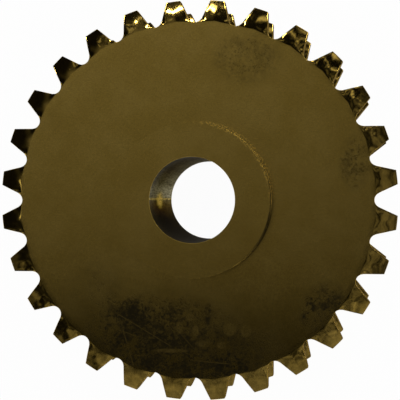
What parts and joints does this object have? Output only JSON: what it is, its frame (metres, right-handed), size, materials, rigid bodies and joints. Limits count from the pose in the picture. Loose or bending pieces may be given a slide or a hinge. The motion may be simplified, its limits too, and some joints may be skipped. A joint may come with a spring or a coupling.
{
  "type": "double sprocket",
  "caption": "One-piece sprocket with two aligned rows of teeth, a channel between them, a hub boss on each face and a plain round bore.",
  "frame": {"origin": "centre of the bore in the end face of the hub boss that the sprocket stands on", "axes": "+Z along the bore axis, away from the face it stands on; a tooth gap of each row lies on +X"},
  "size_m": [0.1226, 0.1226, 0.0427],
  "materials": {
    "plated_steel": "yellow passivated steel, darkened by oil and handling"
  },
  "bodies": {
    "root": {"sprocket": "plated_steel"}
  },
  "joints": []
}
